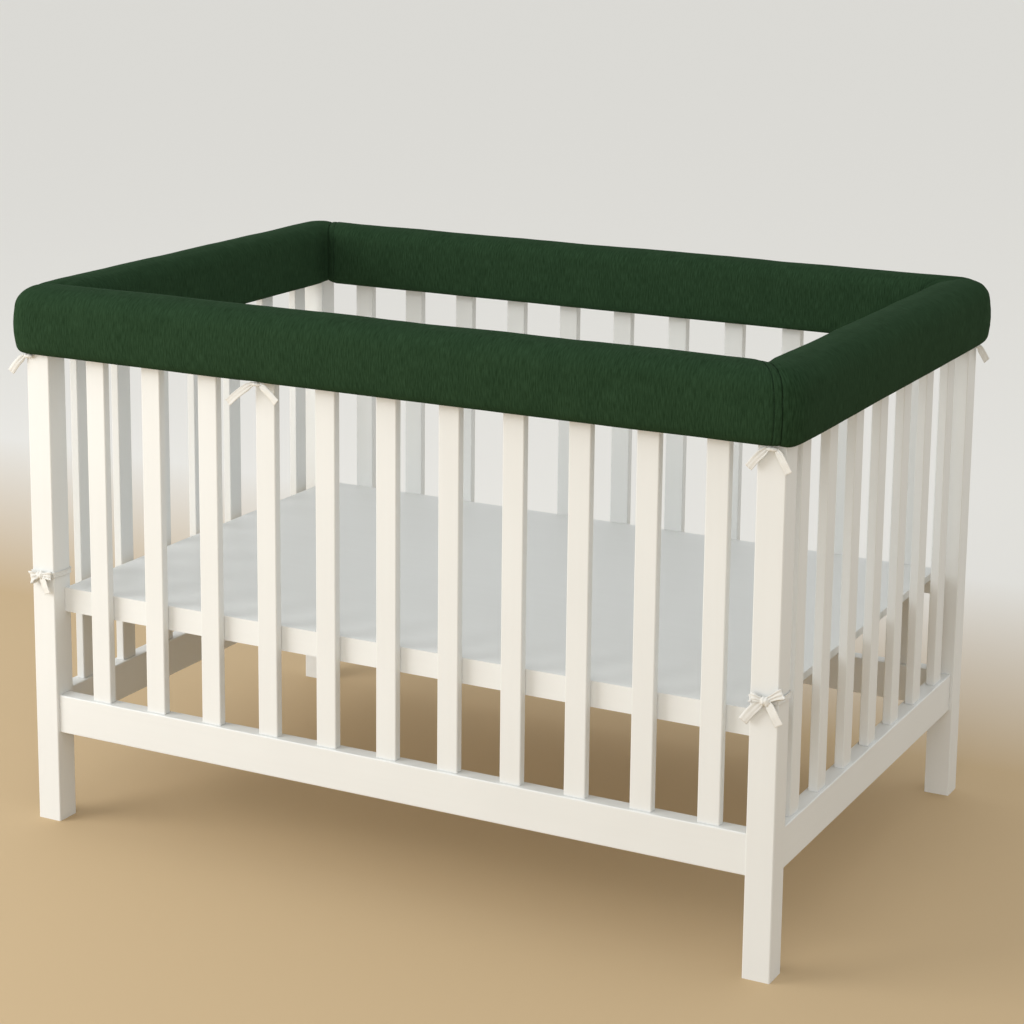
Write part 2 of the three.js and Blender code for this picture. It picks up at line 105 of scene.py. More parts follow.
# Ribbons
RIBBON = {"width": 12 * MM, "thick": 0.8 * MM, "columns": 9}
RIBBON_FOLD = {"half_waves": 2.4, "open_by": 0.3, "flat_by": 0.6, "left": 0.3}
RIBBON_CURL = {"edge": 0.7 * MM, "wobble": 0.5 * MM, "turns": 3}
KNOT = {"rings": 15, "sides": 30, "roundness": 3.2, "end": 0.08, "waist": 0.10, "bulges": 3}
KNOT_FOLD = {"depth": 0.07, "round": 4, "slant": 5}
KNOT_ROUGH = {"depth": 0.10, "along": 1.6, "round": 1.3}
TIE_KNOT = {"long": 17 * MM, "tall": 6.4 * MM, "deep": 6.4 * MM}
BOW_KNOT = {"long": 16 * MM, "tall": 13 * MM, "deep": 9 * MM}
TIE_HEIGHT = COVER_BOTTOM - 3.7 * MM
BOW_HEIGHT = 422 * MM
BOW_OFF_POST = 1.2 * MM

# Paths of the ribbons, in millimetres
FREE_END = {"bow": 1.1, "late": 0.06}
BOW_LOOP = {"fullness": 0.7, "lean": 1.5}
POST_BAND = {"off_post": 0.9, "corner": 3.0, "wander": 0.8, "long_step": 10}

# Colours, dark and light, in linear light
GREEN_CLOTH = ((0.0132, 0.0308, 0.0132), (0.0252, 0.0545, 0.0265))
GREEN_THREAD = ((0.006, 0.015, 0.008), (0.012, 0.028, 0.015))
CREAM_RIBS = ((0.665, 0.655, 0.61), (0.78, 0.778, 0.752))
CREAM_SHADE = ((0.71, 0.70, 0.655), (0.78, 0.78, 0.755))
WHITE_PAINT = ((0.740, 0.747, 0.728), (0.763, 0.771, 0.752))
WHITE_GRAIN = ((0.72, 0.72, 0.696), (0.768, 0.773, 0.754))
GRAIN_SCALE = {"along": 2.2, "across": 95}

# Studio
FLOOR = {"half": 30, "near": (0.545, 0.405, 0.24), "far": (0.86, 0.84, 0.80), "near_y": 0.55, "far_y": 1.7}
WORLD = {"colour": (0.985, 0.995, 0.99), "strength": 0.83}
LIGHTS = {
    "light_left": {"place": (-3.0, -2.6, 1.6), "target": (0, 0, 0.6), "size": (2.6, 2.2),
                   "power": 100, "colour": (0.995, 1.0, 1.0)},
    "light_front": {"place": (1.2, -4.4, 2.4), "target": (0, 0, 0.5), "size": (3.5, 2.0),
                    "power": 34, "colour": (1.0, 1.0, 0.99)},
}

# Camera, as fitted to the photograph's 1024 pixel frame
FRAME_PIXELS = 1024
SENSOR = 36
CAMERA = {
    "place": (1.8228, -3.5148, 1.5662),
    "turn": 27.405,
    "down": 11.244,
    "roll": 0.609,
    "focal_pixels": 2466.1,
    "shift_pixels": -160,
}


# Numbers and rows of numbers

def lerp(a, b, t):
    return a + (b - a) * t


def smooth_step(t):
    t = np.clip(t, 0, 1)
    return t * t * (3 - 2 * t)


def unit_rows(vectors):
    """Each row scaled to length 1."""
    return vectors / np.linalg.norm(vectors, axis=1)[:, None]


def lengths_along(points):
    """How far each point lies from the first one, along the line through them."""
    return np.concatenate([[0], np.cumsum(np.linalg.norm(np.diff(points, axis=0), axis=1))])


def evened(values):
    """One pass of smoothing round a closed row of values."""
    return (np.roll(values, 1) + 2 * values + np.roll(values, -1)) / 4


def smooth_rows(rows, steps):
    """Catmull-Rom interpolation of rows of numbers."""
    rows = np.array(rows, float)
    extended = np.vstack([2 * rows[0] - rows[1], rows, 2 * rows[-1] - rows[-2]])
    result = []
    for place in np.linspace(0, len(rows) - 1, steps + 1):
        i = min(int(place), len(rows) - 2)
        t = place - i
        before, here, there, after = extended[i:i + 4]
        result.append(0.5 * (2 * here + (there - before) * t
                             + (2 * before - 5 * here + 4 * there - after) * t ** 2
                             + (3 * here - before - 3 * there + after) * t ** 3))
    return np.array(result)


# Node materials

class Nodes:
    """Small helper that adds nodes to a material and links them by socket name."""

    def __init__(self, name):
        self.material = bpy.data.materials.new(name)
        self.material.use_nodes = True
        self.tree = self.material.node_tree
        self.shader = self.tree.nodes["Principled BSDF"]

    def add(self, kind, settings=None, **inputs):
        node = self.tree.nodes.new(kind)
        for key, value in (settings or {}).items():
            setattr(node, key, value)
        for key, value in inputs.items():
            self.put(node, key.replace("_", " "), value)
        return node

    def put(self, node, socket, value):
        """Links or sets one input, named by its label or its number."""
        target = node.inputs[int(socket)] if socket.isdigit() else node.inputs[socket]
        if isinstance(value, bpy.types.NodeSocket):
            self.tree.links.new(value, target)
        else:
            target.default_value = value

    def cloth_place(self):
        """Place along and across the cloth, as stored on the mesh."""
        return self.add("ShaderNodeAttribute", {"attribute_name": "cloth_place"}).outputs["Vector"]

    def object_place(self):
        return self.add("ShaderNodeTexCoord").outputs["Object"]

    def noise(self, place, scale, detail=3, roughness=0.5):
        """Noise with one scale for each axis of the place."""
        stretched = self.add("ShaderNodeMapping", Vector=place, Scale=scale).outputs["Vector"]
        node = self.add("ShaderNodeTexNoise", Vector=stretched, Scale=1, Detail=detail, Roughness=roughness)
        return node.outputs["Fac"]

    def ramp(self, value, span, colours):
        """Goes from the first colour to the second as the value crosses the span."""
        node = self.add("ShaderNodeValToRGB", Fac=value)
        for element, position, colour in zip(node.color_ramp.elements, span, colours):
            element.position = position
            element.color = (*colour, 1)
        return node.outputs["Color"]

    def mix(self, share, first, second, blend="MIX"):
        node = self.add("ShaderNodeMix", {"data_type": "RGBA", "blend_type": blend})
        self.put(node, "0", share)
        for socket, value in (("6", first), ("7", second)):
            self.put(node, socket, value if isinstance(value, bpy.types.NodeSocket) else (*value, 1))
        return node.outputs[2]

    def maths(self, operation, first, second):
        node = self.add("ShaderNodeMath", {"operation": operation})
        self.put(node, "0", first)
        self.put(node, "1", second)
        return node.outputs["Value"]

    def bump(self, height, strength, distance, below=None):
        node = self.add("ShaderNodeBump", Height=height, Strength=strength, Distance=distance)
        if below is not None:
            self.put(node, "Normal", below)
        return node.outputs["Normal"]

    def finish(self, **inputs):
        for key, value in inputs.items():
            self.put(self.shader, key.replace("_", " "), value)
        return self.material


def cover_cloth():
    """Dark green brushed knit: fine vertical ribs, crisp short streaks and a very faint sheen."""
    nodes = Nodes("cover_cloth")
    place = nodes.cloth_place()
    streaks = nodes.noise(place, (560, 60, 1), detail=2, roughness=0.6)
    ribs = nodes.noise(place, (1150, 190, 1), detail=2)
    mottle = nodes.noise(place, (26, 12, 1))
    loops = nodes.noise(place, (1900, 1500, 1), detail=1)
    cloudy = nodes.ramp(mottle, (0.3, 0.7), ((0.92, 0.93, 0.92), (1.06, 1.05, 1.05)))
    colour = nodes.mix(1.0, nodes.ramp(streaks, (0.3, 0.7), GREEN_CLOTH), cloudy, "MULTIPLY")
    fine = nodes.bump(loops, 0.3, 0.0003)
    raised = nodes.maths("ADD", nodes.maths("MULTIPLY", streaks, 0.5), nodes.maths("MULTIPLY", ribs, 0.5))
    normal = nodes.bump(raised, 0.5, 0.0006, fine)
    return nodes.finish(Base_Color=colour, Roughness=1.0, Normal=normal, Sheen_Weight=0.02,
                        Sheen_Roughness=0.4, Sheen_Tint=(0.5, 0.85, 0.5, 1), Specular_IOR_Level=0.02)


def thread():
    """Green sewing thread with a fine uneven twist."""
    nodes = Nodes("thread")
    twist = nodes.noise(nodes.object_place(), (2600, 2600, 1400), detail=2)
    colour = nodes.ramp(twist, (0.3, 0.7), GREEN_THREAD)
    return nodes.finish(Base_Color=colour, Roughness=0.95, Normal=nodes.bump(twist, 0.5, 0.0002),
                        Specular_IOR_Level=0.1)


def ribbon_cotton():
    """Cream cotton tape with a fine cross-rib and a slightly shaded weave."""
    nodes = Nodes("ribbon")
    place = nodes.cloth_place()
    ribs = nodes.noise(place, (900, 3200, 1), detail=2)
    weave = nodes.noise(place, (2600, 1400, 1), detail=2)
    shade = nodes.noise(place, (70, 60, 1))
    pale = nodes.ramp(ribs, (0.3, 0.65), CREAM_RIBS)
    colour = nodes.mix(0.6, pale, nodes.ramp(shade, (0.3, 0.7), CREAM_SHADE))
    normal = nodes.bump(nodes.maths("ADD", ribs, weave), 0.45, 0.0004)
    return nodes.finish(Base_Color=colour, Roughness=0.85, Normal=normal, Sheen_Weight=0.15,
                        Sheen_Roughness=0.5, Specular_IOR_Level=0.3)


def white_paint(name, grain):
    """Smooth satin warm white paint, with the faintest grain along the piece."""
    nodes = Nodes(name)
    place = nodes.object_place()
    fibres = nodes.noise(place, grain)
    coat = nodes.noise(place, (5, 5, 5), detail=2)
    base = nodes.ramp(coat, (0.3, 0.7), WHITE_PAINT)
    colour = nodes.mix(0.12, base, nodes.ramp(fibres, (0.35, 0.6), WHITE_GRAIN))
    gloss = nodes.ramp(coat, (0.3, 0.7), ((0.40,) * 3, (0.48,) * 3))
    normal = nodes.bump(fibres, 0.03, 0.0006)
    return nodes.finish(Base_Color=colour, Roughness=gloss, Normal=normal, Specular_IOR_Level=0.35)


def floor_material():
    """Plain matt floor: warm under the crib and paler far behind it."""
    nodes = Nodes("floor")
    behind = nodes.add("ShaderNodeSeparateXYZ", Vector=nodes.object_place()).outputs["Y"]
    share = nodes.add("ShaderNodeMapRange", Value=behind, From_Min=FLOOR["near_y"],
                      From_Max=FLOOR["far_y"])
    colour = nodes.mix(share.outputs["Result"], FLOOR["near"], FLOOR["far"])
    return nodes.finish(Base_Color=colour, Roughness=0.8, Specular_IOR_Level=0.12)


# Meshes from rings of points

def tube_faces(rings, sides):
    """Quads between neighbouring rings, all the way round."""
    faces = []
    for ring in range(rings - 1):
        for side in range(sides):
            here, there = ring * sides, (ring + 1) * sides
            after = (side + 1) % sides
            faces.append((here + side, here + after, there + after, there + side))
    return faces


def capped_tube_faces(rings, sides):
    """The quads of a tube, and one flat face on each end."""
    last = (rings - 1) * sides
    caps = [tuple(range(sides)), tuple(last + i for i in reversed(range(sides)))]
    return tube_faces(rings, sides) + caps


def new_piece(name, points, faces, material, places=None):
    """A smooth object made of closed parts, whose faces are turned to point out.

    The places, where given, say where each point lies on the cloth, for the weave in its material.
    """
    mesh = bpy.data.meshes.new(name)
    mesh.from_pydata([tuple(p) for p in points], [], faces)
    mesh.validate()
    turned = bmesh.new()
    turned.from_mesh(mesh)
    bmesh.ops.recalc_face_normals(turned, faces=turned.faces)
    turned.to_mesh(mesh)
    turned.free()
    if places is not None:
        layer = mesh.attributes.new("cloth_place", "FLOAT_VECTOR", "POINT")
        layer.data.foreach_set("vector", np.asarray(places, np.float32).ravel())
    mesh.materials.append(material)
    mesh.shade_smooth()
    piece = bpy.data.objects.new(name, mesh)
    bpy.context.scene.collection.objects.link(piece)
    return piece


# Section of a cover, an upside-down U round the rail

def arc(reach, z, radius, start, end, kind):
    """Points of a round stretch, about 1 mm apart, between two angles in degrees."""
    count = max(3, round(math.radians(abs(end - start)) * radius / MM))
    angles = np.radians(np.linspace(start, end, count + 1))
    return [(reach + radius * math.cos(a), z + radius * math.sin(a), kind) for a in angles]


def bulged_face(reach, low, high, bulge, upward):
    """Points up or down a face that stands out by "bulge" half way."""
    shares = np.linspace(-1, 1, FACE_POINTS["side"] + 2)[1:-1] * (1 if upward else -1)
    middle, half = (low + high) / 2, (high - low) / 2
    return [(reach + bulge * (1 - s * s), middle + half * s, "skin") for s in shares]


def crowned_top(first, last, z):
    """Points across the top, which stands up by the crown half way."""
    shares = np.linspace(-1, 1, FACE_POINTS["top"] + 2)[1:-1]
    middle, half = (first + last) / 2, (last - first) / 2
    return [(middle + half * s, z + CROWN * (1 - s * s), "skin") for s in shares]


def cover_outline():
    """Reach, height and kind of each point, from the inner hem over the top and back inside the cavity."""
    inside = INNER_EDGE_REACH
    outside = inside + COVER_WIDTH
    wall = (COVER_WIDTH - COVER_CAVITY) / 2
    top = COVER_TOP - CROWN
    hem_in, hem_out, hidden = HEM_ROUND["inside"], HEM_ROUND["outside"], HEM_ROUND["hidden"]
    top_in, top_out = TOP_ROUND["inside"], TOP_ROUND["outside"]
    low = COVER_BOTTOM
    return [
        *arc(inside + hem_in, low + hem_in, hem_in, 270, 180, "inner hem"),
        *bulged_face(inside, low + hem_in, top - top_in, -FACE_BULGE["inside"], True),
        *arc(inside + top_in, top - top_in, top_in, 180, 90, "skin"),
        *crowned_top(inside + top_in, outside - top_out, top),
        *arc(outside - top_out, top - top_out, top_out, 90, 0, "skin"),
        *bulged_face(outside, low + hem_out, top - top_out, FACE_BULGE["outside"], False),
        *arc(outside - hem_out, low + hem_out, hem_out, 0, -90, "outer hem"),
        *arc(outside - wall + hidden, low + hidden, hidden, 270, 180, "hidden hem"),
        *arc(outside - wall - CAVITY_ROUND, CAVITY_TOP - CAVITY_ROUND, CAVITY_ROUND, 0, 90, "cavity"),
        *arc(inside + wall + CAVITY_ROUND, CAVITY_TOP - CAVITY_ROUND, CAVITY_ROUND, 90, 180, "cavity"),
        *arc(inside + wall - hidden, low + hidden, hidden, 0, -90, "hidden hem"),
    ]


class Section:
    """The outline resampled evenly, and what each of its points belongs to."""

    def __init__(self):
        kind = self.resample(cover_outline())
        self.share_out(kind)
        self.find_normals()
        self.find_pull()

    def resample(self, rows):
        """Spaces the outline's points evenly, smooths them and returns the kind of each."""
        points = np.array([(reach, z) for reach, z, _ in rows])
        kinds = np.array([kind for _, _, kind in rows], object)
        closed = np.vstack([points, points[:1]])
        lengths = lengths_along(closed)
        count = round(lengths[-1] / SECTION_SPACING)
        self.along = np.linspace(0, lengths[-1], count, endpoint=False)
        self.reach = np.interp(self.along, lengths, closed[:, 0])
        self.z = np.interp(self.along, lengths, closed[:, 1])
        for _ in range(SMOOTHING_PASSES):
            self.reach, self.z = evened(self.reach), evened(self.z)
        nearest = np.clip(np.searchsorted(lengths, self.along), 0, len(kinds) - 1)
        return kinds[nearest]

    def share_out(self, kind):
        """How much each point belongs to the skin, to the hem tucked under it and to the cavity."""
        outside = INNER_EDGE_REACH + COVER_WIDTH
        wall = (COVER_WIDTH - COVER_CAVITY) / 2
        self.hidden = np.isin(kind, ["cavity", "hidden hem"])
        outer_share = 1 - np.clip((outside - self.reach) / HEM_ROUND["outside"], 0, 1)
        inner_share = np.clip((self.z - COVER_BOTTOM) / HEM_ROUND["inside"], 0, 1)
        share = np.where(kind == "outer hem", outer_share, np.where(kind == "inner hem", inner_share, 1.0))
        self.skin = np.where(self.hidden, 0.0, share)
        tucked = np.clip((self.reach - outside + wall) / HEM_ROUND["hidden"], 0, 1)
        under = np.where(kind == "outer hem", 1 - share, np.where(kind == "hidden hem", tucked, 0.0))
        self.corner_shares = np.stack([self.skin, under, 1 - self.skin - under], 1)

    def find_normals(self):
        """Outward direction of the outline at each point."""
        edge_reach = np.roll(self.reach, -1) - np.roll(self.reach, 1)
        edge_z = np.roll(self.z, -1) - np.roll(self.z, 1)
        size = np.hypot(edge_reach, edge_z)
        self.normal_reach, self.normal_z = -edge_z / size, edge_reach / size

    def find_pull(self):
        """How firmly a seam grips each point, and how far it lifts the hidden ones."""
        above_hem = np.clip((self.z - COVER_BOTTOM) / HEM_LIFT, 0, 1)
        self.lifts = np.where(self.hidden, 1 - smooth_step(above_hem), 1.0)
        self.outer = self.reach > INNER_EDGE_REACH + COVER_WIDTH / 2
        outward = np.clip((self.reach - INNER_EDGE_REACH) / COVER_WIDTH, 0, 1)
        upward = (self.z - COVER_BOTTOM) / (COVER_TOP - COVER_BOTTOM)
        self.grip = lerp(1, SEAM_DRAW["outside"], outward) * lerp(1, SEAM_DRAW["top"], upward)


SECTION = Section()
SECTION_MIDDLE = (INNER_EDGE_REACH + COVER_WIDTH / 2, (COVER_TOP + COVER_BOTTOM) / 2)


# Covers

def corner_angles(seam):
    """Angles from the straight part to the seam, closer together near the seam."""
    wide, near_angle = CORNER_STEP["wide"], CORNER_STEP["near_angle"]
    far = np.arange(wide, seam - near_angle, wide)
    near = np.arange(CORNER_STEP["near_seam"], near_angle, CORNER_STEP["near_seam"])
    back_from_seam = np.array([0, *CORNER_STEP["at_seam"], *near])
    return [*far, *(seam - back_from_seam[::-1])]


def straight_places(half):
    """Places along the straight part, closer together near its ends."""
    near = np.arange(0, SWEEP_STEP["near_length"], SWEEP_STEP["near_seam"])
    inner = half - SWEEP_STEP["near_length"]
    count = round(2 * inner / SWEEP_STEP["straight"])
    return [*(near - half), *np.linspace(-inner, inner, count + 1), *(half - near[::-1])]


def corner_stretch(degrees):
    """How far a corner's spoke reaches: nearly square round the post and softer on the skin."""
    cosine, sine = math.cos(math.radians(degrees)), math.sin(math.radians(degrees))
    reaches = [(cosine ** power + sine ** power) ** (-1 / power) for power in CORNER_SQUARENESS.values()]
    return SECTION.corner_shares @ reaches


class Cover:
    """One cover swept along its side and round its two corners as far as their seams."""

    def __init__(self, name, out, on, half, edge, seams, ties):
        self.name = name
        self.out, self.on = np.array(out, float), np.array(on, float)
        self.half, self.edge = half, edge
        self.seams, self.ties = seams, ties
        stations = [(-1, angle) for angle in reversed(corner_angles(seams[0]))]
        stations += [(0, place) for place in straight_places(half)]
        stations += [(1, angle) for angle in corner_angles(seams[1])]
        rings = [self.ring(end, station) for end, station in stations]
        self.points = np.array([ring[0] for ring in rings])
        self.seam_distance = [np.array([ring[1][which] for ring in rings]) for which in (0, 1)]
        self.travel = np.array([ring[2] for ring in rings])

    def ring(self, end, station):
        """Points of one ring, their distances to both seams, and their place along the cloth.

        The station is a place on the straight part where end is 0, and otherwise an angle round the
        corner at that end.
        """
        if end == 0:
            spoke, origin = self.out, self.on * station
            stretch = 1.0
            along = station
        else:
            angle = math.radians(station)
            spoke = self.out * math.cos(angle) + self.on * end * math.sin(angle)
            origin = self.on * end * self.half
            stretch = corner_stretch(station)
            along = end * (self.half + angle * COVER_WIDTH)
        base = self.out * self.edge + origin
        reach = SECTION.reach * stretch
        flat = base + np.outer(reach, spoke)
        distances = [self.distance_to_seam(flat, which) for which in (0, 1)]
        reach, z = self.drawn_in(reach, SECTION.z, np.minimum(*distances))
        points = np.column_stack([base + np.outer(reach, spoke), z])
        normals = np.column_stack([np.outer(SECTION.normal_reach, spoke), SECTION.normal_z])
        points += normals * self.relief(points, along, distances)[:, None]
        return points, distances, np.full(len(z), along)

    def back_from_seam(self, which):
        """Direction square to a seam's upright plane, back into this cover."""
        end = (-1, 1)[which]
        angle = math.radians(self.seams[which])
        return self.out * math.sin(angle) - self.on * end * math.cos(angle)

    def distance_to_seam(self, flat, which):
        """Distance of points, seen from above, to the upright plane of a seam."""
        end = (-1, 1)[which]
        corner = self.out * self.edge + self.on * end * self.half
        return np.abs((flat - corner) @ self.back_from_seam(which))

    def drawn_in(self, reach, z, distance):
        """The seam pulls the padding in towards the middle of the section, most at the inner hem."""
        share = np.clip(1 - distance / SEAM_DRAW["reach"], 0, 1) ** 2
        share = share * SECTION.grip * SEAM_DRAW["depth"] / (COVER_WIDTH / 2)
        middle_reach, middle_z = SECTION_MIDDLE
        reach = reach + (middle_reach - reach) * share * SECTION.skin
        z = z + (middle_z - z) * share * SECTION.lifts
        return reach, z

    def relief(self, points, along, distances):
        """Height of the soft unevenness, seam puckers, seam fold, topstitch groove and tie pinches."""
        distance = np.minimum(*distances)
        phase = 2 * math.pi * SECTION.along / SEAM_PUCKER["pitch"]
        slow = np.array([noise.noise(Vector(p) / UNEVEN["size"]) for p in points])
        quick = np.array([noise.noise(Vector(p) / UNEVEN["fine_size"]) for p in points])
        height = UNEVEN["height"] * slow + UNEVEN["fine_height"] * quick
        pucker = np.sin(phase + SEAM_PUCKER["wander"] * slow) * np.exp(-distance / SEAM_PUCKER["fade"])
        height = height + SEAM_PUCKER["height"] * pucker * np.clip(distance / SEAM_PUCKER["start"], 0, 1)
        lip = 1 - np.clip(distance / SEAM_FOLD["reach"], 0, 1)
        height = height - SEAM_FOLD["depth"] * (1 - np.sqrt(1 - lip * lip))
        if self.has_topstitch():
            for gap in distances:
                offset = (gap - TOPSTITCH["from_seam"]) / TOPSTITCH["half_width"]
                height = height - TOPSTITCH["groove"] * np.exp(-offset * offset)
        for tie in self.ties:
            near = np.exp(-((along - tie) / TIE_PINCH["reach"]) ** 2)
            low = np.clip(1 - (SECTION.z - COVER_BOTTOM) / TIE_PINCH["height"], 0, 1) ** 2
            height = height - TIE_PINCH["depth"] * near * low * SECTION.outer
        return height * np.where(SECTION.hidden, 0, 1) * lerp(TUCKED_RELIEF, 1, SECTION.skin)

    def has_topstitch(self):
        return self.name in ("cover_front", "cover_back")

    def open_seams(self):
        """Moves the two end rings a little off their seams."""
        for which, ring in enumerate((0, -1)):
            self.points[ring, :, :2] += self.back_from_seam(which) * SEAM_HALF_GAP

    def build(self, material):
        self.open_seams()
        rings, count, _ = self.points.shape
        around = np.tile(SECTION.along, (rings, 1))
        places = np.stack([self.travel, around, np.zeros_like(around)], -1).reshape(-1, 3)
        faces = capped_tube_faces(rings, count)
        piece = new_piece(f"{self.name}_cloth", self.points.reshape(-1, 3), faces, material, places)
        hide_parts(self.name)
        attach(piece, "root")

    def line_beside_seam(self, which, distance):
        """Points of the skin that lie at one distance from a seam, from hem to hem."""
        gaps = self.seam_distance[which]
        order = range(len(gaps)) if which == 0 else range(len(gaps) - 1, -1, -1)
        line = []
        for column in np.flatnonzero(~SECTION.hidden):
            before = None
            for row in order:
                if before is not None and gaps[row, column] >= distance:
                    low, high = gaps[before, column], gaps[row, column]
                    share = (distance - low) / (high - low)
                    line.append(lerp(self.points[before, column], self.points[row, column], share))
                    break
                before = row
        return np.array(line)


def make_covers(material):
    """The four covers, each with the seam angles that its two corners leave it."""
    long_side = {"on": (1, 0), "half": INNER_EDGE["x"], "edge": INNER_EDGE["y"]}
    short_side = {"on": (0, 1), "half": INNER_EDGE["y"], "edge": INNER_EDGE["x"]}
    rows = [
        {"name": "cover_front", "out": (0, -1), **long_side,
         "seams": (SEAM["front_left"], SEAM["front_right"]), "ties": [MIDDLE_TIE_X]},
        {"name": "cover_back", "out": (0, 1), **long_side,
         "seams": (SEAM["back_left"], SEAM["back_right"]), "ties": []},
        {"name": "cover_left", "out": (-1, 0), **short_side,
         "seams": (90 - SEAM["front_left"], 90 - SEAM["back_left"]), "ties": []},
        {"name": "cover_right", "out": (1, 0), **short_side,
         "seams": (90 - SEAM["front_right"], 90 - SEAM["back_right"]), "ties": []},
    ]
    covers = [Cover(**row) for row in rows]
    for cover in covers:
        cover.build(material)
    return covers


# Topstitching beside the seams

def stitch_points():
    """Points of one stitch along +X, round its own axis."""
    rings, sides, taper = STITCH["rings"], STITCH["sides"], STITCH["taper"]
    points = []
    for ring in range(rings):
        t = lerp(-taper, taper, ring / (rings - 1))
        radius = STITCH["radius"] * math.sqrt(1 - t * t)
        for side in range(sides):
            angle = 2 * math.pi * side / sides
            points.append((t * STITCH["length"] / 2, radius * math.cos(angle), radius * math.sin(angle)))
    return points


def stitches_along(lines, name, material):
    """One piece with all the stitches along some lines, each line with the middle it runs round."""
    shape = stitch_points()
    shape_faces = capped_tube_faces(STITCH["rings"], STITCH["sides"])
    pitch = TOPSTITCH["pitch"]
    points, faces = [], []
    for line, middle in lines:
        lengths = lengths_along(line)
        for place in np.arange(pitch, lengths[-1] - pitch, pitch):
            at = Vector([np.interp(place, lengths, line[:, k]) for k in range(3)])
            ahead = Vector([np.interp(place + MM, lengths, line[:, k]) for k in range(3)])
            forward = (ahead - at).normalized()
            outward = at - middle
            outward = (outward - forward * outward.dot(forward)).normalized()
            side = outward.cross(forward)
            centre = at + outward * STITCH["rise"]
            first = len(points)
            points += [centre + forward * x + side * y + outward * z for x, y, z in shape]
            faces += [tuple(first + i for i in face) for face in shape_faces]
    piece = new_piece(name, points, faces, material)
    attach(piece, "root")


def make_topstitching(covers, material):
    """A line of topstitches beside both seams of each long cover."""
    for cover in covers:
        if not cover.has_topstitch():
            continue
        lines = []
        for which in (0, 1):
            line = cover.line_beside_seam(which, TOPSTITCH["from_seam"])
            middle_flat = line[:, :2].mean(axis=0)
            lines.append((line, Vector((*middle_flat, SECTION_MIDDLE[1]))))
        stitches_along(lines, f"{cover.name}_topstitch", material)


# Ribbons

class RibbonMesh:
    """Collects the strips and the knot of one tied ribbon as one mesh."""

    def __init__(self):
        self.points, self.faces, self.places = [], [], []
        self.length = 0.0

    def add(self, points, faces, places):
        first = len(self.points)
        self.points += [tuple(p) for p in points]
        self.faces += [tuple(first + i for i in face) for face in faces]
        self.places += [tuple(p) for p in places]

    def strip(self, at, rows, gather=0.6, pleat=1.1 * MM, wide=1.0, is_loop=False, seed=0, steps=26):
        """A strip through rows of x, y, z and the ribbon's across direction, in millimetres from "at".

        gather is the share of the full width at the knot, and pleat the depth of the folds there.
        """
        table = smooth_rows(rows, steps)
        centres = np.array(at) + table[:, :3] * MM
        along = unit_rows(np.gradient(centres, axis=0))
        across = unit_rows(table[:, 3:])
        across = unit_rows(across - along * np.sum(across * along, axis=1)[:, None])
        level = np.cross(along, across)
        lengths = lengths_along(centres)
        shares = np.linspace(-1, 1, RIBBON["columns"])
        points, places = [], []
        for i, centre in enumerate(centres):
            t = i / steps
            from_knot = min(t, 1 - t) if is_loop else t
            opened = lerp(gather, 1, smooth_step(from_knot / RIBBON_FOLD["open_by"]))
            width = wide * RIBBON["width"] / 2 * opened
            lift = self.cross_form(shares, t, from_knot, pleat, seed)
            for side in (1, -1):
                for share, height in zip(shares[::side], lift[::side]):
                    offset = height + side * RIBBON["thick"] / 2
                    points.append(centre + across[i] * share * width + level[i] * offset)
                    places.append((share * RIBBON["width"] / 2, self.length + lengths[i], 0))
        self.add(points, strip_faces(steps + 1), places)
        self.length += lengths[-1]

    def cross_form(self, shares, t, from_knot, pleat, seed):
        """Height of the folds, curled edges and wobble across the ribbon at one place."""
        kept = lerp(1, RIBBON_FOLD["left"], smooth_step(from_knot / RIBBON_FOLD["flat_by"]))
        folds = pleat * kept * np.cos(shares * RIBBON_FOLD["half_waves"] * math.pi + seed)
        turns = RIBBON_CURL["turns"] * t
        curl = RIBBON_CURL["edge"] * shares ** 2 * math.sin(turns + seed)
        wobble = RIBBON_CURL["wobble"] * noise.noise(Vector((turns, seed, 0)))
        return folds + curl + wobble

    def knot(self, at, axis, size, seed):
        """A pulled knot: a flattened barrel of ribbon with folds round it, along "axis"."""
        axis, up = Vector(axis).normalized(), Vector((0, 0, 1))
        other = axis.cross(up)
        rings, sides = KNOT["rings"], KNOT["sides"]
        points, places = [], []
        for ring in range(rings):
            t = lerp(-1, 1, ring / (rings - 1))
            rounded = math.sqrt(max(0.0, 1 - abs(t) ** KNOT["roundness"]))
            girth = lerp(KNOT["end"], 1, rounded)
            waist = 1 - KNOT["waist"] * math.cos(KNOT["bulges"] * math.pi * t)
            for side in range(sides):
                angle = 2 * math.pi * side / sides
                spot = Vector((t * KNOT_ROUGH["along"], angle * KNOT_ROUGH["round"], seed))
                rough = 1 + KNOT_ROUGH["depth"] * noise.noise(spot)
                slanted = KNOT_FOLD["round"] * angle + KNOT_FOLD["slant"] * t + seed
                fold = 1 + KNOT_FOLD["depth"] * math.sin(slanted)
                radius = girth * waist * rough * fold / 2
                turned = up * math.cos(angle) * size["tall"] + other * math.sin(angle) * size["deep"]
                points.append(Vector(at) + axis * t * size["long"] / 2 + turned * radius)
                places.append((angle * size["tall"] / 2, t * size["long"] / 2, 0))
        self.add(points, capped_tube_faces(rings, sides), places)
        self.length += math.pi * size["tall"]

    def build(self, name, node, material, held, rests_on):
        piece = new_piece(name, self.points, self.faces, material, self.places)
        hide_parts(node)
        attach(piece, "root")


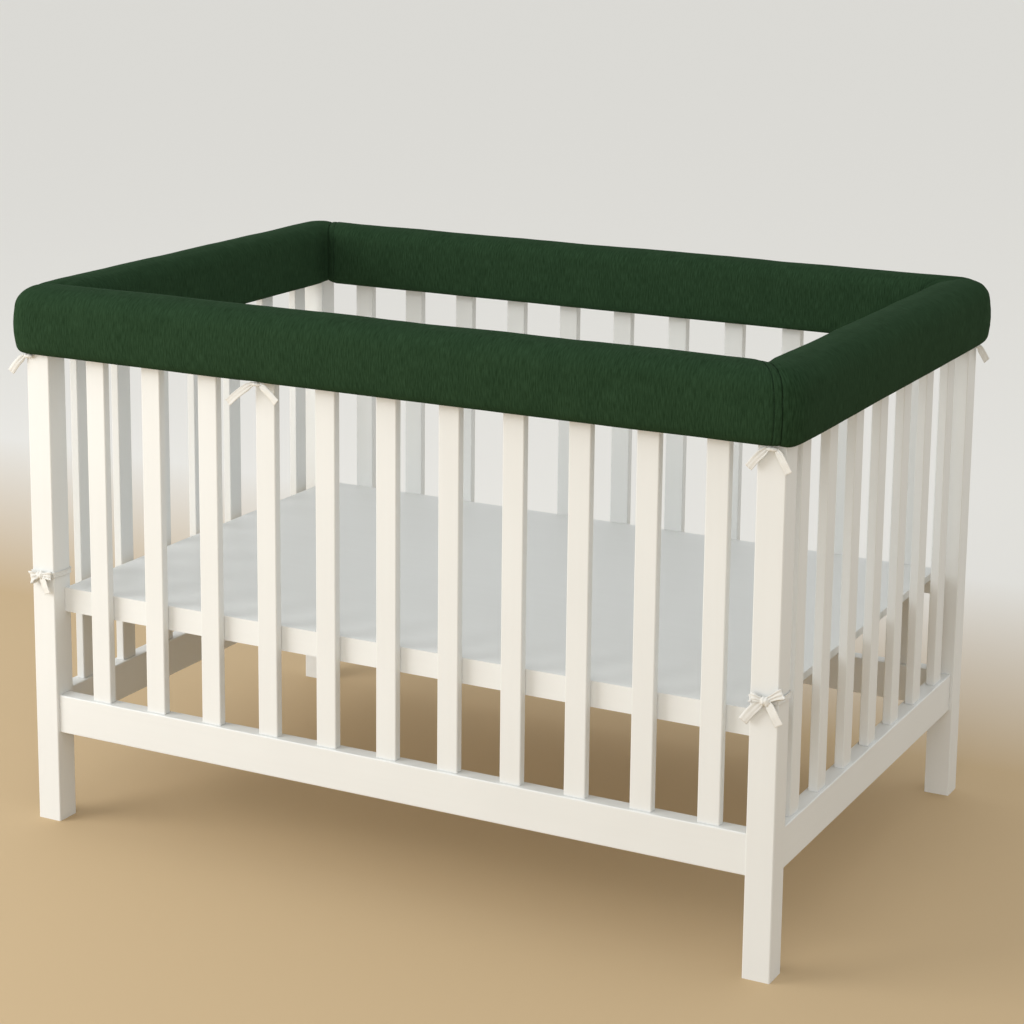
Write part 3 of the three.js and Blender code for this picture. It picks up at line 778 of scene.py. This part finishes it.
def strip_faces(rings):
    """Quads round a flat strip's rings, and rows of quads that close its two cut ends."""
    count = 2 * RIBBON["columns"]
    faces = tube_faces(rings, count)
    for first in (0, (rings - 1) * count):
        for c in range(RIBBON["columns"] - 1):
            faces.append((first + c, first + c + 1, first + count - 2 - c, first + count - 1 - c))
    return faces


def free_end(start, dx, dy, dz):
    """Rows of a flat free end that leaves its knot "start" beside the middle and runs nearly straight."""
    flat = math.hypot(dx, dy)
    across = (-dz * dx / flat, -dz * dy / flat, flat)
    rows = []
    for t in (0, 0.3, 0.65, 1):
        bend = math.sin(math.pi * t)
        rows.append((start + dx * t, dy * t - FREE_END["bow"] * bend, dz * (t - FREE_END["late"] * bend),
                     *across))
    return rows


def bow_loop(length, rise, depth, fan):
    """Rows of a loop that runs out from the knot, turns round and comes back, opened upright by "fan"."""
    rows = []
    for t in (0, 0.2, 0.42, 0.5, 0.58, 0.8, 1):
        out = math.sin(math.pi * t) ** BOW_LOOP["fullness"]
        near = math.cos(math.pi * t)
        rows.append((length * out, -near * depth / 2 * out ** 0.5 - BOW_LOOP["lean"] * out,
                     rise * out + near * fan * out, -rise, 0, length))
    return rows


def make_ties(material):
    """Ribbon ends that hang out from under the outer hem."""
    rows = {
        "tie_front_left": {
            "at": (-643 * MM, -440 * MM, TIE_HEIGHT), "axis": (1, 0, 0), "under": "cover_front",
            "ends": [(-7, -24, -5, -28)],
        },
        "tie_front_middle": {
            "at": (MIDDLE_TIE_X, -HEM["y"] + TIE_PINCH["depth"], TIE_HEIGHT), "axis": (1, 0, 0),
            "under": "cover_front", "ends": [(-7, -42, -4, -33), (6, 33, -4, -24)],
        },
        "tie_front_right": {
            "at": (631 * MM, -HEM["y"], TIE_HEIGHT), "axis": (1, 0, 0), "under": "cover_front",
            "ends": [(-7, -26, -3, -29), (6, 21, -3, -31)],
        },
        "tie_back_right": {
            "at": (HEM["x"], HEM["y"] - 21 * MM, TIE_HEIGHT), "axis": (0, 1, 0), "under": "cover_right",
            "ends": [(0, 6, 22, -22), (0, 12, 14, -26)],
        },
    }
    for number, (node, row) in enumerate(rows.items()):
        ribbon = RibbonMesh()
        ribbon.knot(row["at"], row["axis"], TIE_KNOT, seed=number)
        for k, end in enumerate(row["ends"]):
            ribbon.strip(row["at"], free_end(*end), gather=0.62, seed=2 * number + k)
        ribbon.build(f"{node}_ribbon", node, material, "hung", [f"{row['under']}_cloth"])


def post_band_rows(x, y, knot_x):
    """Rows of a ribbon band round a post, from the knot right round and back to it."""
    corner = POST_BAND["corner"]
    straight = POST_WIDTH / 2 / MM + POST_BAND["off_post"] - corner
    turns = []
    for side_x, side_y, start in ((1, -1, -90), (1, 1, 0), (-1, 1, 90), (-1, -1, 180)):
        for angle in (start + 10, start + 45, start + 80):
            a = math.radians(angle)
            turns.append((side_x * straight + corner * math.cos(a),
                          side_y * straight + corner * math.sin(a)))
    ring = []
    for here, there in zip(turns, turns[1:] + turns[:1]):
        ring.append(here)
        if math.dist(here, there) > POST_BAND["long_step"]:
            ring += [[lerp(a, b, share) for a, b in zip(here, there)] for share in (0.25, 0.5, 0.75)]
    ring.append(ring[0])
    offset = (x - knot_x) / MM
    return [(ring_x + offset, ring_y + y, POST_BAND["wander"] * math.sin(k), 0, 0, 1)
            for k, (ring_x, ring_y) in enumerate(ring)]


def make_bows(material):
    """Small bows tied round the two front posts at the base's height."""
    post_x = CRIB_HALF_LENGTH - POST_WIDTH / 2
    front = -CRIB_HALF_DEPTH - BOW_KNOT["deep"] / 2 - BOW_OFF_POST
    band_y = (-(CRIB_HALF_DEPTH - POST_WIDTH / 2) - front) / MM
    rows = {
        "bow_front_left": {
            "x": -post_x, "knot_x": -630 * MM, "post": "post_front_left",
            "loops": [(-17, -6, 11, 3), (22, 1, 5, 1)], "loop_widths": (1.75, 1.15),
            "ends": [(3, 13, -3, -29)],
        },
        "bow_front_right": {
            "x": post_x, "knot_x": 632 * MM, "post": "post_front_right",
            "loops": [(-20, 3, 7, 3), (26, 15, 7, 2)], "loop_widths": (1.2, 1.3),
            "ends": [(-4, -27, -4, -33), (3, 21, -4, -31)],
        },
    }
    for number, (node, row) in enumerate(rows.items()):
        at = (row["knot_x"], front, BOW_HEIGHT)
        ribbon = RibbonMesh()
        ribbon.knot(at, (1, 0, 0), BOW_KNOT, seed=7 + number)
        band = post_band_rows(row["x"], band_y, row["knot_x"])
        ribbon.strip(at, band, gather=1, pleat=0.3 * MM, wide=0.75, seed=number, steps=90)
        for k, (loop, wide) in enumerate(zip(row["loops"], row["loop_widths"])):
            ribbon.strip(at, bow_loop(*loop), gather=0.5, pleat=1.2 * MM, wide=wide, is_loop=True,
                         seed=5 * number + k, steps=40)
        for k, end in enumerate(row["ends"]):
            ribbon.strip(at, free_end(*end), gather=0.6, pleat=1.0 * MM, wide=1.2, seed=11 * number + k)
        ribbon.build(f"{node}_ribbon", node, material, "folded", [row["post"]])


# Crib

def paint_crib():
    """White paint on the crib's nodes, with its grain along each piece."""
    along, across = GRAIN_SCALE["along"], GRAIN_SCALE["across"]
    upright = white_paint("paint_upright", (across, across, along))
    along_x = white_paint("paint_along_x", (along, across, across))
    along_y = white_paint("paint_along_y", (across, along, across))
    for name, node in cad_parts.items():
        if name.startswith(("post_", "slat_")):
            paint = upright
        elif name.startswith("rail_") and name.endswith(("_left", "_right")):
            paint = along_y
        elif name.startswith(("rail_", "base_")):
            paint = along_x
        else:
            continue
        node.data.materials.clear()
        node.data.materials.append(paint)


# Floor, lights and camera

def make_floor():
    half = FLOOR["half"]
    corners = [(-half, -half, 0), (half, -half, 0), (half, half, 0), (-half, half, 0)]
    mesh = bpy.data.meshes.new("floor")
    mesh.from_pydata(corners, [], [(0, 1, 2, 3)])
    mesh.materials.append(floor_material())
    floor = bpy.data.objects.new("floor", mesh)
    bpy.context.scene.collection.objects.link(floor)


def area_light(name, place, target, size, power, colour):
    data = bpy.data.lights.new(name, "AREA")
    data.shape = "RECTANGLE"
    data.size, data.size_y = size
    data.energy = power
    data.color = colour
    light = bpy.data.objects.new(name, data)
    light.location = place
    light.rotation_euler = (Vector(target) - Vector(place)).to_track_quat("-Z", "Y").to_euler()
    bpy.context.scene.collection.objects.link(light)


def make_lights():
    world = bpy.data.worlds.new("studio")
    world.use_nodes = True
    background = world.node_tree.nodes["Background"]
    background.inputs["Color"].default_value = (*WORLD["colour"], 1)
    background.inputs["Strength"].default_value = WORLD["strength"]
    bpy.context.scene.world = world
    for name, settings in LIGHTS.items():
        area_light(name, **settings)


def make_camera():
    data = bpy.data.cameras.new("camera")
    data.sensor_width = SENSOR
    data.lens = CAMERA["focal_pixels"] / FRAME_PIXELS * SENSOR
    data.shift_y = CAMERA["shift_pixels"] / FRAME_PIXELS
    camera = bpy.data.objects.new("camera", data)
    turn = Matrix.Rotation(math.radians(CAMERA["turn"]), 4, "Z")
    tilt = Matrix.Rotation(math.radians(90 - CAMERA["down"]), 4, "X")
    roll = Matrix.Rotation(math.radians(CAMERA["roll"]), 4, "Z")
    camera.matrix_world = Matrix.Translation(CAMERA["place"]) @ turn @ tilt @ roll
    bpy.context.scene.collection.objects.link(camera)
    bpy.context.scene.camera = camera


make_camera()
make_lights()
make_floor()
bpy.context.scene.view_settings.view_transform = "Standard"

covers = make_covers(cover_cloth())
make_topstitching(covers, thread())
ribbon = ribbon_cotton()
make_ties(ribbon)
make_bows(ribbon)
paint_crib()
